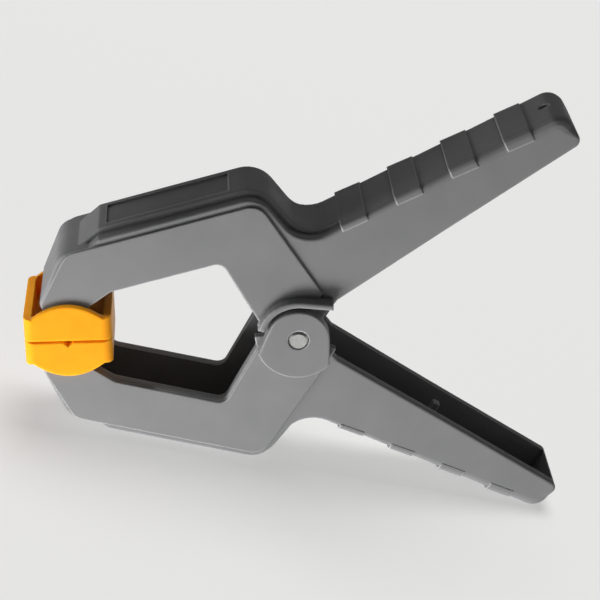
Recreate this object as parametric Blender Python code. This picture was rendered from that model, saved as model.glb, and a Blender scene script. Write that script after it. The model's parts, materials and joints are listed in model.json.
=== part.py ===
"""Hand spring clamp with swivel jaw pads.

Two moulded arms cross at a steel pivot pin. Each arm is an open channel with a jaw on the
left and a handle on the right. A torsion spring round the pin pushes the handles apart and
closes the jaws. Side profiles are drawn in the XZ plane with the pivot at (0, 0) for the
upper arm, and the lower arm mirrors them. The clamp stands on the hump of the lower jaw's
back and on the end of the lower handle.
"""

import math

import bmesh
import bpy
import numpy as np
from mathutils import Matrix, Vector

# Fits
FIT = 0.0003
SLIDE = 0.0004
SWING_MARGIN = math.radians(4.0)

# Motion
OPEN_ANGLE = math.radians(45.0)

# Back of the arm
SPINE_ANGLE = math.radians(14.8)
SPINE_HEIGHT = 0.0652
RIDGE_RISE = 0.0026
RIDGE_HALF = 0.0120
RIDGE_ROUND = 0.0012
RIDGE_START = 0.0885
STEP_LOW = 0.0834
STEP_HIGH = 0.0795
HUMP_REACH = 0.0153
HUMP_ROUND = 0.0100
WAIST_REACH = 0.0020
WAIST_ROUND = 0.0140
NAME_PANEL_START = 0.0270
NAME_PANEL_LENGTH = 0.0510
NAME_PANEL_HALF = 0.0085
NAME_PANEL_DEPTH = 0.0010

# Jaw
JAW_DEPTH = 0.0241
JAW_REACH = 0.0936
THROAT_ROOT = 0.0132
THROAT_ANGLE = math.radians(61.5)
THROAT_ROUND = 0.0045
KINK_REACH = 0.0755
KINK_ROUND = 0.0050
TIP_OUTER = 0.0114
TIP_INNER = 0.0104
TIP_LEVEL = 0.0150
FOREHEAD_REACH = 0.0956
TIP_ROUND = 0.0080
TIP_HEEL_ROUND = 0.0040
TIP_HALF = 0.0175
LUG_RADIUS = 0.0052
DRAFT_START = 0.0220

# Walls
ARM_HALF = 0.0168
ARM_ROUND = 0.0012
PANEL_HALF = 0.0180
PANEL_INSET = 0.0027
PANEL_LIP = 0.0006
PANEL_ROUND = 0.0004
PANEL_END_REACH = 0.0102
PANEL_END_HEIGHT = 0.0180
CHANNEL_HALF = 0.0128
CHANNEL_REACH = 0.0835
BACK_WALL = 0.0040
END_WALL = 0.0024

# Handle
HANDLE_HEIGHT = 0.0370
HANDLE_REACH = 0.1031
HANDLE_END_HEIGHT = 0.0844
HANDLE_END_ROUND = 0.0070
HANDLE_HALF = 0.0157
HANDLE_SLIM_END = 0.0600
HANDLE_END_DEPTH = 0.0150
HANDLE_TOE_ROUND = 0.0035
HANDLE_EDGE_ROUND = 0.0046
HANDLE_ROOT_REACH = 0.0165
HANDLE_ROOT_HEIGHT = 0.0138
GRIP_COUNT = 4
GRIP_START = 0.0178
GRIP_PITCH = 0.0243
GRIP_LENGTH = 0.0112
GRIP_RISE = 0.0012
GRIP_RISE_END = 0.0005
GRIP_PROUD = 0.0002
GRIP_FACE = 0.0008
POST_PLACE = 0.0555
POST_LENGTH = 0.0042
POST_HALF = 0.0016
POST_DROP = 0.0010
CORD_HOLE_RADIUS = 0.0017

# Pivot
PIVOT_RADIUS = 0.0040
PIVOT_PROUD = 0.0006
PIVOT_CHAMFER = 0.0008
EAR_RADIUS = 0.0113
EAR_BOSS = 0.0004
SHIELD_TOP_RADIUS = 0.0128
SHIELD_LOW_RADIUS = 0.0176
SHIELD_HALF = 0.0245
SHIELD_ROUND = 0.0006
HOOD_GAP = 0.0013
HOOD_WALL = 0.0027
HOOD_HALF = 0.0235
HOOD_ROUND = 0.0010
HOOD_REACH = 0.0144
HOOD_FALL = 0.0016

# Jaw pads
PAD_LENGTH = 0.0357
PAD_FLOOR = 0.0032
PAD_END_WALL = 0.0033
PAD_CHEEK = 0.0022
PAD_END_HEIGHT = 0.0104
PAD_HUMP = 0.0058
PAD_CORNER = 0.0040
PAD_ROUND = 0.0008
PAD_PIN_HEIGHT = 0.0105
PAD_PIN_RADIUS = 0.0025
PAD_PIN_SEAT = 0.0012
GROOVE_WIDTH = 0.0040
GROOVE_DEPTH = 0.0018

# Spring
WIRE_RADIUS = 0.0018
COIL_RADIUS = 0.0090
COIL_GAP = 0.0007
COIL_TURNS = 4
LEG_LENGTH = 0.0760
POINTS_PER_TURN = 10

ARC_STEP = math.radians(11.0)
RIM_STEPS = 4
ROUND_SIDES = 40

GREY_PLASTIC = ("grey_plastic", (0.225, 0.225, 0.228, 1.0), 0.55, 0.0)
ORANGE_PLASTIC = ("orange_plastic", (0.98, 0.42, 0.025, 1.0), 0.45, 0.0)
BRIGHT_STEEL = ("bright_steel", (0.62, 0.62, 0.60, 1.0), 0.32, 1.0)
SPRING_STEEL = ("spring_steel", (0.30, 0.30, 0.31, 1.0), 0.38, 1.0)
BLACK_PLASTIC = ("black_plastic", (0.03, 0.03, 0.03, 1.0), 0.50, 0.0)

# Sizes that follow from the ones above
SLOPE = math.tan(SPINE_ANGLE)
CHEEK_INNER = PANEL_HALF - (PANEL_HALF - TIP_HALF) * (
    (JAW_REACH - PAD_LENGTH / 2 - DRAFT_START) / (JAW_REACH - DRAFT_START)
) + SLIDE
PAD_HALF = CHEEK_INNER + PAD_CHEEK
SHIELD_INNER = PANEL_HALF + FIT
EAR_OUTER = PANEL_HALF - FIT
EAR_INNER = CHANNEL_HALF - EAR_BOSS
HOOD_INNER_RADIUS = SHIELD_TOP_RADIUS + HOOD_GAP
PIVOT_HOLE = PIVOT_RADIUS + FIT
PAD_PIN_HALF = CHEEK_INNER + PAD_PIN_SEAT
SLEEVE_OUTER = COIL_RADIUS * math.cos(math.pi / POINTS_PER_TURN) - WIRE_RADIUS - FIT


def clear_scene():
    for item in list(bpy.data.objects):
        bpy.data.objects.remove(item, do_unlink=True)


def material(spec):
    name, colour, roughness, metallic = spec
    made = bpy.data.materials.new(name)
    made.use_nodes = True
    shader = made.node_tree.nodes["Principled BSDF"]
    shader.inputs["Base Color"].default_value = colour
    shader.inputs["Roughness"].default_value = roughness
    shader.inputs["Metallic"].default_value = metallic
    return made


# Flat geometry: points are (x, z) pairs


def meet(point_a, dir_a, point_b, dir_b):
    """Crossing point of two lines, each given by a point and a direction."""
    cross = dir_a[0] * dir_b[1] - dir_a[1] * dir_b[0]
    along = ((point_b[0] - point_a[0]) * dir_b[1] - (point_b[1] - point_a[1]) * dir_b[0]) / cross
    return (point_a[0] + along * dir_a[0], point_a[1] + along * dir_a[1])


def rounded(corners):
    """Outline through (x, z, radius) corners, each turned into an arc of its radius."""
    outline = []
    count = len(corners)
    for index, (x, z, radius) in enumerate(corners):
        corner = Vector((x, z))
        before = Vector(corners[index - 1][:2]) - corner
        after = Vector(corners[(index + 1) % count][:2]) - corner
        turn = math.pi - before.angle(after)
        if radius <= 0.0 or turn < 0.02:
            outline.append((x, z))
            continue
        reach = min(radius * math.tan(turn / 2), 0.49 * before.length, 0.49 * after.length)
        bend = reach / math.tan(turn / 2)
        bisector = (before.normalized() + after.normalized()).normalized()
        centre = corner + bisector * (bend / math.cos(turn / 2))
        start = corner + before.normalized() * reach - centre
        end = corner + after.normalized() * reach - centre
        sweep = start.angle_signed(end)
        steps = max(2, math.ceil(abs(sweep) / ARC_STEP))
        for step in range(steps + 1):
            spoke = start.copy()
            spoke.rotate(Matrix.Rotation(-sweep * step / steps, 2))
            outline.append(tuple(centre + spoke))
    return outline


def arc(radius, start, end):
    """Points on a circle round the pivot, from one direction to another in degrees."""
    steps = max(2, math.ceil(abs(math.radians(end - start)) / ARC_STEP))
    turns = [math.radians(start + (end - start) * step / steps) for step in range(steps + 1)]
    return [(radius * math.cos(turn), radius * math.sin(turn)) for turn in turns]


def flipped(outline):
    return [(x, -z) for x, z in outline]


# Side profile of the upper arm


def spine_point(x, offset):
    """Point of the jaw's back line at x, moved out square to the line by the offset."""
    return (x, SPINE_HEIGHT + x * SLOPE + offset / math.cos(SPINE_ANGLE))


END_CENTRE = (HANDLE_REACH, HANDLE_END_HEIGHT)
END_DISTANCE = math.hypot(END_CENTRE[0], END_CENTRE[1] - HANDLE_HEIGHT)
HANDLE_ANGLE = math.atan2(END_CENTRE[1] - HANDLE_HEIGHT, END_CENTRE[0]) + math.asin(
    HANDLE_END_ROUND / END_DISTANCE
)
ALONG = (math.cos(HANDLE_ANGLE), math.sin(HANDLE_ANGLE))
OUTWARD = (-math.sin(HANDLE_ANGLE), math.cos(HANDLE_ANGLE))


def handle_point(place, offset):
    """Point on the handle's back line, counted from the waist, moved outward by the offset."""
    start = HANDLE_HEIGHT + WAIST_REACH * math.tan(HANDLE_ANGLE)
    return (
        WAIST_REACH + place * ALONG[0] + offset * OUTWARD[0],
        start + place * ALONG[1] + offset * OUTWARD[1],
    )


def back_corners(offset):
    """Hump and waist of the back line, moved outward by the offset."""
    hump = spine_point(-HUMP_REACH, 0.0)
    waist = handle_point(0.0, 0.0)
    fall = (waist[0] - hump[0], waist[1] - hump[1])
    length = math.hypot(*fall)
    beside = (hump[0] - fall[1] / length * offset, hump[1] + fall[0] / length * offset)
    rise = (math.cos(SPINE_ANGLE), math.sin(SPINE_ANGLE))
    hump = meet(spine_point(0.0, offset), rise, beside, fall)
    waist = meet(handle_point(0.0, offset), ALONG, beside, fall)
    return [
        (*hump, HUMP_ROUND + offset),
        (*waist, max(WAIST_ROUND - offset, ARM_ROUND)),
    ]


def handle_end_corners(offset, end_offset):
    """Outer and inner corner of the handle's end, moved outward by the two offsets."""
    end_place = (END_CENTRE[0] - WAIST_REACH) * ALONG[0] + (
        END_CENTRE[1] - HANDLE_HEIGHT - WAIST_REACH * math.tan(HANDLE_ANGLE)
    ) * ALONG[1]
    far = end_place + HANDLE_END_ROUND + end_offset
    return [
        (*handle_point(far, offset), HANDLE_END_ROUND + offset),
        (*handle_point(far, -HANDLE_END_DEPTH), HANDLE_TOE_ROUND),
    ]


INNER_LINE = spine_point(0.0, -JAW_DEPTH)
RISE = (math.cos(SPINE_ANGLE), math.sin(SPINE_ANGLE))
DIAGONAL = (math.cos(THROAT_ANGLE), -math.sin(THROAT_ANGLE))
THROAT = meet(INNER_LINE, RISE, (-THROAT_ROOT, 0.0), DIAGONAL)
KINK = (-KINK_REACH, INNER_LINE[1] - KINK_REACH * SLOPE)
STOP_ANGLE = OPEN_ANGLE / 2 + SWING_MARGIN
STOP = (EAR_RADIUS * math.cos(STOP_ANGLE), EAR_RADIUS * math.sin(STOP_ANGLE))
PIN_SPOT = (-JAW_REACH, PAD_PIN_HEIGHT)


def throat_foot(inset):
    """Lower end of the throat's slanted edge, set in from it and above the parting line."""
    level = FIT + inset
    return (-THROAT_ROOT - level / math.tan(THROAT_ANGLE) + inset / math.sin(THROAT_ANGLE), level)


def arm_outline():
    tip_left = PIN_SPOT[0] - TIP_OUTER
    tip_right = PIN_SPOT[0] + TIP_INNER
    brow = spine_point(-STEP_LOW, -PANEL_INSET * 0.9)
    forehead = (-FOREHEAD_REACH, brow[1] + (STEP_LOW - FOREHEAD_REACH) * SLOPE)
    lug = PIN_SPOT[1] - LUG_RADIUS
    corners = [
        (PIN_SPOT[0] - LUG_RADIUS, lug, LUG_RADIUS * 0.99),
        (tip_left + 0.25 * TIP_OUTER, PIN_SPOT[1], 0.0),
        (tip_left, TIP_LEVEL, TIP_HEEL_ROUND),
        (*forehead, TIP_ROUND),
        (*brow, 0.0),
        (*spine_point(-STEP_HIGH, 0.0), 0.0),
        *back_corners(0.0),
        *handle_end_corners(0.0, 0.0),
        (HANDLE_ROOT_REACH, HANDLE_ROOT_HEIGHT, 0.0),
        (*STOP, 0.0),
        (0.0, FIT, 0.0),
        (*throat_foot(0.0), 0.0),
        (*THROAT, THROAT_ROUND),
        (*KINK, KINK_ROUND),
        (tip_right, TIP_LEVEL, 0.0),
        (tip_right - 0.35 * TIP_INNER, PIN_SPOT[1], 0.0),
        (PIN_SPOT[0] + LUG_RADIUS, lug, LUG_RADIUS * 0.99),
    ]
    return rounded(corners)


def panel_outline():
    """Raised flat on the jaw's side, from its tip to the pivot."""
    tip_left = PIN_SPOT[0] - TIP_OUTER + PANEL_LIP
    tip_right = PIN_SPOT[0] + TIP_INNER - PANEL_LIP
    inner = spine_point(0.0, -JAW_DEPTH + PANEL_LIP)
    foot = throat_foot(PANEL_LIP)
    throat = meet(inner, RISE, foot, DIAGONAL)
    shoulder = (PANEL_END_REACH, PANEL_END_HEIGHT)
    hump = spine_point(-HUMP_REACH, -PANEL_INSET)
    corners = [
        (PIN_SPOT[0] - LUG_RADIUS / 2, PIN_SPOT[1], 0.0),
        (tip_left + 0.25 * TIP_OUTER, PIN_SPOT[1] + PANEL_LIP, 0.0),
        (tip_left, TIP_LEVEL, TIP_HEEL_ROUND),
        (*spine_point(PIN_SPOT[0] + PANEL_LIP, -PANEL_INSET), TIP_ROUND),
        (*hump, HUMP_ROUND - PANEL_INSET),
        (*shoulder, 0.0),
        (0.6 * EAR_RADIUS, 0.75 * EAR_RADIUS, 0.0),
        (0.0, foot[1], 0.0),
        (*foot, 0.0),
        (*throat, THROAT_ROUND),
        (KINK[0], inner[1] + KINK[0] * SLOPE, KINK_ROUND),
        (tip_right, TIP_LEVEL, 0.0),
        (tip_right - 0.35 * TIP_INNER, PIN_SPOT[1] + PANEL_LIP, 0.0),
        (PIN_SPOT[0] + LUG_RADIUS / 2, PIN_SPOT[1], 0.0),
    ]
    return rounded(corners)


def ridge_outline():
    """Raised band along the back, from the jaw's brow to the first grip."""
    end = GRIP_START + GRIP_LENGTH / 2
    under = -BACK_WALL / 2
    upper = rounded([
        (*spine_point(-RIDGE_START, -PANEL_INSET), 0.0),
        (*spine_point(-STEP_HIGH, RIDGE_RISE), RIDGE_RISE),
        *back_corners(RIDGE_RISE),
        (*handle_point(end, GRIP_RISE / 2), 0.0),
        (*handle_point(end, under), 0.0),
        *reversed(back_corners(under)),
        (*spine_point(-RIDGE_START, -PANEL_INSET + 2 * under), 0.0),
    ])
    return upper


def channel_outline():
    """Hollow of the arm, open along the inside of the jaw and the handle."""
    inside = -BACK_WALL
    floor = (-CHANNEL_REACH, spine_point(-CHANNEL_REACH, inside - PANEL_INSET)[1])
    step = spine_point(-STEP_HIGH, inside)
    ends = handle_end_corners(inside, -END_WALL)
    below = -2 * SHIELD_LOW_RADIUS
    return rounded([
        (-CHANNEL_REACH, below, 0.0),
        (*floor, BACK_WALL / 2),
        (*step, 0.0),
        *back_corners(inside),
        ends[0],
        (ends[1][0], ends[1][1], 0.0),
        (ends[1][0], below, 0.0),
    ])


def hood_outline():
    """Curved lip over the outer ear, running straight to the handle side."""
    inner = arc(HOOD_INNER_RADIUS, 166.0, 84.0)
    outer = arc(HOOD_INNER_RADIUS + HOOD_WALL, 84.0, 166.0)
    tip_low = (HOOD_REACH, HOOD_INNER_RADIUS - HOOD_FALL)
    tip_high = (HOOD_REACH, HOOD_INNER_RADIUS + HOOD_WALL - HOOD_FALL)
    return inner + [tip_low, tip_high] + outer


def shield_outline():
    """Outer ear of the lower arm: round over the pin and wider below it."""
    side = math.degrees(math.acos(SHIELD_TOP_RADIUS / SHIELD_LOW_RADIUS))
    return arc(SHIELD_TOP_RADIUS, 0.0, 155.0) + arc(SHIELD_LOW_RADIUS, 201.0, 360.0 - side)


def ear_root_outline():
    """Part of the outer ear that grows out of the lower arm's side."""
    stop = math.degrees(STOP_ANGLE)
    return [(0.0, -FIT)] + arc(SHIELD_LOW_RADIUS, 183.0, 360.0 - stop)


# Solids


def prism(outline, near, far, edge=0.0):
    """Outline drawn in XZ and extruded along Y, with its two rims rounded by the edge."""
    shape = bmesh.new()
    face = shape.faces.new([shape.verts.new((x, near, z)) for x, z in outline])
    grown = bmesh.ops.extrude_face_region(shape, geom=[face])["geom"]
    moved = [item for item in grown if isinstance(item, bmesh.types.BMVert)]
    bmesh.ops.translate(shape, verts=moved, vec=(0.0, far - near, 0.0))
    bmesh.ops.recalc_face_normals(shape, faces=shape.faces)
    if edge > 0.0:
        rims = [item for item in shape.edges if item.verts[0].co.y == item.verts[1].co.y]
        bmesh.ops.bevel(
            shape, geom=rims, offset=edge, segments=2, profile=0.5, affect="EDGES",
            clamp_overlap=False,
        )
    return shape


def rim_radius(x, z):
    """Radius of the arm's rim at a point of its outline: it grows along the handle's back."""
    start = handle_point(0.0, 0.0)
    along = (x - start[0]) * ALONG[0] + (z - start[1]) * ALONG[1]
    below = (x - start[0]) * OUTWARD[0] + (z - start[1]) * OUTWARD[1]
    if along <= 0.0 or below < -1.02 * HANDLE_END_ROUND:
        return ARM_ROUND
    part = min(along / (END_CENTRE[0] / ALONG[0]), 1.0)
    return ARM_ROUND + (HANDLE_EDGE_ROUND - ARM_ROUND) * part


def rimmed(outline, sign):
    """Arm's core: its outline extruded along Y, with a rim whose radius may differ all round."""
    rings = []
    count = len(outline)
    for step in range(RIM_STEPS + 1):
        turn = math.pi / 2 * step / RIM_STEPS
        ring = []
        for index, (x, z) in enumerate(outline):
            corner = Vector((x, z))
            before = (corner - Vector(outline[index - 1])).normalized()
            after = (Vector(outline[(index + 1) % count]) - corner).normalized()
            square = Vector((before.y + after.y, -before.x - after.x)) / (1.0 + before.dot(after))
            radius = rim_radius(x, z)
            inner = corner + square * radius * (1.0 - math.cos(turn))
            ring.append((inner.x, sign * inner.y, ARM_HALF - radius * (1.0 - math.sin(turn))))
        rings.append(ring)
    shape = bmesh.new()
    loops = [[shape.verts.new((x, y, z)) for x, z, y in ring] for ring in reversed(rings)]
    loops += [[shape.verts.new((x, -y, z)) for x, z, y in ring] for ring in rings]
    for near, far in zip(loops, loops[1:]):
        for index in range(count):
            beside = (index + 1) % count
            shape.faces.new((near[index], near[beside], far[beside], far[index]))
    shape.faces.new(loops[0])
    shape.faces.new(loops[-1])
    bmesh.ops.recalc_face_normals(shape, faces=shape.faces)
    return shape


def both_sides(outline, near, far, edge=0.0):
    return [prism(outline, near, far, edge), prism(outline, -far, -near, edge)]


def plan_prism(outline, low, high):
    """Outline drawn in XY and extruded along Z."""
    shape = prism(outline, -high, -low)
    bmesh.ops.rotate(shape, verts=shape.verts, matrix=Matrix.Rotation(math.radians(-90.0), 3, "X"))
    return shape


def turned(profile, centre=(0.0, 0.0)):
    """Closed profile of (radius, y) pairs spun round an axis along Y through the centre."""
    shape = bmesh.new()
    ring = [shape.verts.new((radius, y, 0.0)) for radius, y in profile]
    sides = [shape.edges.new((ring[i], ring[(i + 1) % len(ring)])) for i in range(len(ring))]
    bmesh.ops.spin(
        shape, geom=ring + sides, cent=(0.0, 0.0, 0.0), axis=(0.0, 1.0, 0.0),
        angle=2 * math.pi, steps=ROUND_SIDES, use_merge=True,
    )
    bmesh.ops.remove_doubles(shape, verts=shape.verts, dist=1e-6)
    bmesh.ops.recalc_face_normals(shape, faces=shape.faces)
    bmesh.ops.translate(shape, verts=shape.verts, vec=(centre[0], 0.0, centre[1]))
    return shape


def bar(radius, near, far, centre=(0.0, 0.0), sides=ROUND_SIDES):
    """Plain round bar along Y."""
    turns = [2 * math.pi * step / sides for step in range(sides)]
    ring = [(centre[0] + radius * math.cos(t), centre[1] + radius * math.sin(t)) for t in turns]
    return prism(ring, near, far)


def draft(shape):
    """Narrows the jaw evenly to its tip, and the arm past the pivot to the handle's width."""
    for cut in (-DRAFT_START, EAR_RADIUS, HANDLE_SLIM_END):
        everything = list(shape.verts) + list(shape.edges) + list(shape.faces)
        bmesh.ops.bisect_plane(
            shape, geom=everything, dist=1e-7, plane_co=(cut, 0.0, 0.0),
            plane_no=(1.0, 0.0, 0.0),
        )
    jaw_loss = (1.0 - TIP_HALF / PANEL_HALF) / (JAW_REACH - DRAFT_START)
    handle_loss = (1.0 - HANDLE_HALF / ARM_HALF) / (HANDLE_SLIM_END - EAR_RADIUS)
    for vert in shape.verts:
        jaw = max(-DRAFT_START - vert.co.x, 0.0)
        handle = min(max(vert.co.x, EAR_RADIUS), HANDLE_SLIM_END) - EAR_RADIUS
        vert.co.y *= 1.0 - jaw_loss * jaw - handle_loss * handle
    return shape


def place(name, shapes, parent, spec=None, origin=(0.0, 0.0, 0.0)):
    """Object made of closed shapes, with its origin at the given point of the parent."""
    mesh = bpy.data.meshes.new(name)
    joined = bmesh.new()
    for shape in shapes:
        part = bpy.data.meshes.new("part")
        shape.to_mesh(part)
        shape.free()
        joined.from_mesh(part)
        bpy.data.meshes.remove(part)
    bmesh.ops.translate(joined, verts=joined.verts, vec=-Vector(origin))
    joined.to_mesh(mesh)
    joined.free()
    made = bpy.data.objects.new(name, mesh)
    bpy.context.collection.objects.link(made)
    made.parent = parent
    made.location = origin
    if spec:
        made.data.materials.append(spec)
        made.data.shade_smooth()
        made.data.set_sharp_from_angle(angle=math.radians(32.0))
    return made


def combine(target, operation, name, shapes, origin=(0.0, 0.0, 0.0)):
    """Adds or cuts closed shapes on the target with a Boolean."""
    tool = place(name, shapes, target.parent, origin=origin)
    tool.hide_render = True
    tool.display_type = "WIRE"
    step = target.modifiers.new(name, "BOOLEAN")
    step.operation = operation
    step.object = tool
    step.solver = "EXACT"


def grip(start, sign):
    """One finger grip: it wraps the handle's rounded rim and runs out along the handle."""
    radius = rim_radius(*handle_point(start + GRIP_LENGTH / 2, 0.0))
    half = ARM_HALF + GRIP_PROUD
    near = [(half, -radius - GRIP_FACE)]
    for step in range(RIM_STEPS + 1):
        turn = math.pi / 2 * step / RIM_STEPS
        near.append((half - radius * (1.0 - math.cos(turn)), -radius * (1.0 - math.sin(turn))))
    section = near + [(-y, offset) for y, offset in reversed(near)]
    shape = bmesh.new()
    ends = []
    for place_on, rise in ((start, GRIP_RISE), (start + GRIP_LENGTH, GRIP_RISE_END)):
        ring = []
        for y, offset in section:
            x, z = handle_point(place_on, offset + rise)
            ring.append(shape.verts.new((x, y, sign * z)))
        ends.append(ring)
    for index in range(len(section)):
        beside = (index + 1) % len(section)
        shape.faces.new((ends[0][index], ends[0][beside], ends[1][beside], ends[1][index]))
    shape.faces.new(ends[0])
    shape.faces.new(ends[1])
    bmesh.ops.recalc_face_normals(shape, faces=shape.faces)
    return draft(shape)


def grips(sign):
    return [grip(GRIP_START + number * GRIP_PITCH, sign) for number in range(GRIP_COUNT)]


def post(sign):
    """Small tapered fin on the floor of the handle's channel."""
    root = handle_point(POST_PLACE, 0.0)
    inner_dir = (
        handle_end_corners(0.0, 0.0)[1][0] - HANDLE_ROOT_REACH,
        handle_end_corners(0.0, 0.0)[1][1] - HANDLE_ROOT_HEIGHT,
    )
    edge = meet(root, OUTWARD, (HANDLE_ROOT_REACH, HANDLE_ROOT_HEIGHT), inner_dir)
    depth = math.hypot(edge[0] - root[0], edge[1] - root[1]) - POST_DROP
    outline = [
        handle_point(POST_PLACE - POST_LENGTH / 2, -BACK_WALL / 2),
        handle_point(POST_PLACE + POST_LENGTH / 2, -BACK_WALL / 2),
        handle_point(POST_PLACE + POST_LENGTH / 3, -depth),
        handle_point(POST_PLACE - POST_LENGTH / 3, -depth),
    ]
    outline = [(x, z * sign) for x, z in outline]
    return prism(outline, -POST_HALF, POST_HALF)


def arm(name, parent, sign, spec):
    """Channel-shaped arm without its ears: +1 gives the upper one and -1 the lower one."""

    def side(outline):
        return outline if sign > 0 else flipped(outline)

    core = draft(rimmed(arm_outline(), sign))
    made = place(name, [core], parent, spec)
    panel = draft(prism(side(panel_outline()), -PANEL_HALF, PANEL_HALF, PANEL_ROUND))
    combine(made, "UNION", name + "_panel", [panel])
    ridge = draft(prism(side(ridge_outline()), -RIDGE_HALF, RIDGE_HALF, RIDGE_ROUND))
    combine(made, "UNION", name + "_ridge", [ridge])
    combine(made, "UNION", name + "_grips", grips(sign))
    channel = draft(prism(side(channel_outline()), -CHANNEL_HALF, CHANNEL_HALF))
    combine(made, "DIFFERENCE", name + "_channel", [channel])
    combine(made, "UNION", name + "_post", [post(sign)])
    spot = (PIN_SPOT[0], sign * PIN_SPOT[1])
    hole = bar(PAD_PIN_RADIUS + FIT, -2 * PANEL_HALF, 2 * PANEL_HALF, spot, 24)
    combine(made, "DIFFERENCE", name + "_pad_hole", [hole])
    return made


def upper_arm(parent, spec):
    made = arm("upper_arm", parent, 1, spec)
    ears = [bar(EAR_RADIUS, EAR_INNER, EAR_OUTER), bar(EAR_RADIUS, -EAR_OUTER, -EAR_INNER)]
    combine(made, "UNION", "upper_ears", ears)
    hood = both_sides(hood_outline(), ARM_HALF - PANEL_INSET / 2, HOOD_HALF, HOOD_ROUND)
    combine(made, "UNION", "upper_hood", hood)
    bore = bar(PIVOT_HOLE, -2 * SHIELD_HALF, 2 * SHIELD_HALF)
    combine(made, "DIFFERENCE", "upper_bore", [bore])
    start = NAME_PANEL_START / math.cos(SPINE_ANGLE)
    finish = start + NAME_PANEL_LENGTH
    low = RIDGE_RISE - NAME_PANEL_DEPTH
    high = RIDGE_RISE + BACK_WALL

    def back(distance, offset):
        return spine_point(-distance * math.cos(SPINE_ANGLE), offset)

    recess = [back(finish, low), back(finish, high), back(start, high), back(start, low)]
    combine(
        made, "DIFFERENCE", "name_panel", [prism(recess, -NAME_PANEL_HALF, NAME_PANEL_HALF)]
    )
    hole = bmesh.new()
    bmesh.ops.create_cone(
        hole, cap_ends=True, segments=16, radius1=CORD_HOLE_RADIUS, radius2=CORD_HOLE_RADIUS,
        depth=6 * HANDLE_END_ROUND,
    )
    lean = HANDLE_ANGLE - math.radians(45.0)
    bmesh.ops.rotate(
        hole, verts=hole.verts, matrix=Matrix.Rotation(math.radians(90.0) - lean, 3, "Y")
    )
    spread = HANDLE_END_ROUND * 0.62
    bmesh.ops.translate(hole, verts=hole.verts, vec=(
        END_CENTRE[0] + spread * math.cos(HANDLE_ANGLE + math.radians(45.0)), 0.0,
        END_CENTRE[1] + spread * math.sin(HANDLE_ANGLE + math.radians(45.0)),
    ))
    combine(made, "DIFFERENCE", "cord_hole", [hole])
    return made


def lower_arm(parent, spec):
    made = arm("lower_arm", parent, -1, spec)
    root = both_sides(ear_root_outline(), ARM_HALF - PANEL_INSET / 2, SHIELD_INNER + FIT)
    combine(made, "UNION", "ear_roots", root)
    shield = both_sides(shield_outline(), SHIELD_INNER, SHIELD_HALF, SHIELD_ROUND)
    combine(made, "UNION", "outer_ears", shield)
    pocket = EAR_RADIUS + SLIDE
    far = SHIELD_INNER + FIT / 2
    near = EAR_INNER - FIT
    pockets = [bar(pocket, near, far), bar(pocket, -far, -near)]
    combine(made, "DIFFERENCE", "ear_pockets", pockets)
    bore = bar(PIVOT_HOLE, -2 * SHIELD_HALF, 2 * SHIELD_HALF)
    combine(made, "DIFFERENCE", "lower_bore", [bore])
    return made


def pad_profile(groove):
    """Side view of a pad above its gripping face, with x counted from the pad's pin."""
    half = PAD_LENGTH / 2
    face = FIT / 2
    hump = half - PAD_END_WALL
    top = [(half, PAD_END_HEIGHT)]
    for step in range(17):
        x = hump - 2 * hump * step / 16
        top.append((x, PAD_END_HEIGHT + PAD_HUMP * (1.0 - (x / hump) ** 2)))
    top.append((-half, PAD_END_HEIGHT))
    foot = [(-half, face)]
    if groove:
        foot += [(-GROOVE_WIDTH / 2, face), (0.0, face + GROOVE_DEPTH), (GROOVE_WIDTH / 2, face)]
    foot.append((half, face))
    return top + foot


def jaw_pad(name, parent, sign, groove, spec):
    origin = (PIN_SPOT[0], 0.0, sign * PIN_SPOT[1])

    def side(outline):
        return [(PIN_SPOT[0] + x, sign * z) for x, z in outline]

    body = prism(side(pad_profile(groove)), -PAD_HALF, PAD_HALF, PAD_ROUND)
    made = place(name, [body], parent, spec, origin)
    half = PAD_LENGTH / 2
    high = PAD_END_HEIGHT + 2 * PAD_HUMP
    left = PIN_SPOT[0] - half
    right = PIN_SPOT[0] + half
    plan = rounded([
        (left, -PAD_HALF, PAD_CORNER), (right, -PAD_HALF, PAD_CORNER),
        (right, PAD_HALF, PAD_CORNER), (left, PAD_HALF, PAD_CORNER),
    ])
    combine(made, "INTERSECT", name + "_plan", [plan_prism(plan, -high, high)], origin)
    inner = CHEEK_INNER
    left = left + PAD_END_WALL
    right = right - PAD_END_WALL
    round_inner = max(PAD_CORNER - PAD_CHEEK, PAD_ROUND)
    plan = rounded([
        (left, -inner, round_inner), (right, -inner, round_inner),
        (right, inner, round_inner), (left, inner, round_inner),
    ])
    low, far = sorted((sign * PAD_FLOOR, sign * 2 * high))
    combine(made, "DIFFERENCE", name + "_hollow", [plan_prism(plan, low, far)], origin)
    reach = PAD_PIN_HALF + FIT
    seat = bar(PAD_PIN_RADIUS + FIT, -reach, reach, (origin[0], origin[2]), 24)
    combine(made, "DIFFERENCE", name + "_seat", [seat], origin)
    return made


def pin(name, parent, radius, half, chamfer, spec, origin=(0.0, 0.0, 0.0)):
    inner = radius - chamfer
    shape = turned(
        [(0.0, -half), (inner, -half), (radius, -half + chamfer), (radius, half - chamfer),
         (inner, half), (0.0, half)],
        (origin[0], origin[2]),
    )
    return place(name, [shape], parent, spec, origin)


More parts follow.
